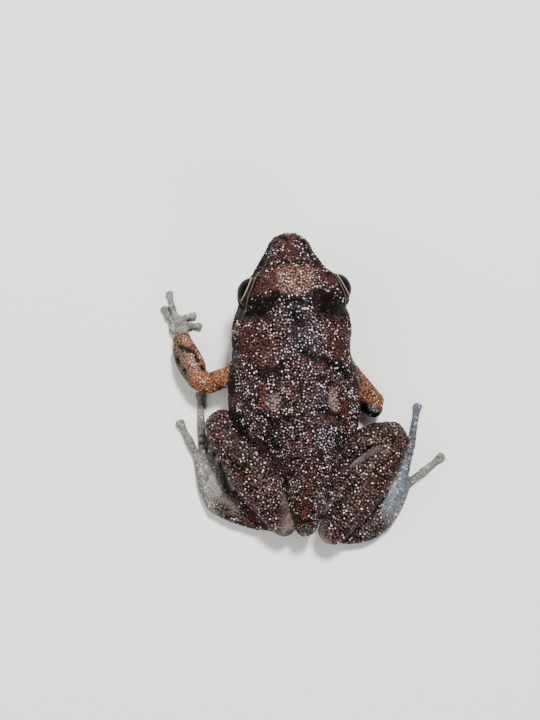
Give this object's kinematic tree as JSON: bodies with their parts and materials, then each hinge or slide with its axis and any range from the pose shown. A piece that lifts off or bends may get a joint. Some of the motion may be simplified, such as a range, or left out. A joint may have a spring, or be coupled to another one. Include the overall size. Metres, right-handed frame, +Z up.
{
  "type": "greenhouse frog model",
  "caption": "Life-size still greenhouse frog, crouched on its belly with folded hind legs, one arm reaching out and one tucked under; moist brown granular skin and dark bulging eyes.",
  "frame": {"origin": "middle of the frog's footprint on the floor it sits on", "axes": "+Y the way the head points, +X the frog's right side, +Z up"},
  "size_m": [0.0228, 0.0254, 0.0077],
  "materials": {
    "back_skin": "moist granular skin, dark reddish brown with pale specks",
    "arm_skin": "moist skin, orange brown",
    "foot_skin": "smooth moist skin, bluish grey",
    "eye": "wet gloss, dark iris"
  },
  "bodies": {
    "root": {"head": "back_skin", "torso": "back_skin", "eye_left": "eye", "eye_right": "eye", "upper_arm_left": "arm_skin", "upper_arm_right": "arm_skin", "forearm_left": "arm_skin", "forearm_right": "arm_skin", "hand_left": "foot_skin", "hand_right": "foot_skin", "thigh_left": "back_skin", "thigh_right": "back_skin", "shank_left": "back_skin", "shank_right": "back_skin", "tarsus_left": "back_skin", "tarsus_right": "back_skin", "foot_left": "foot_skin", "foot_right": "foot_skin"}
  },
  "joints": []
}
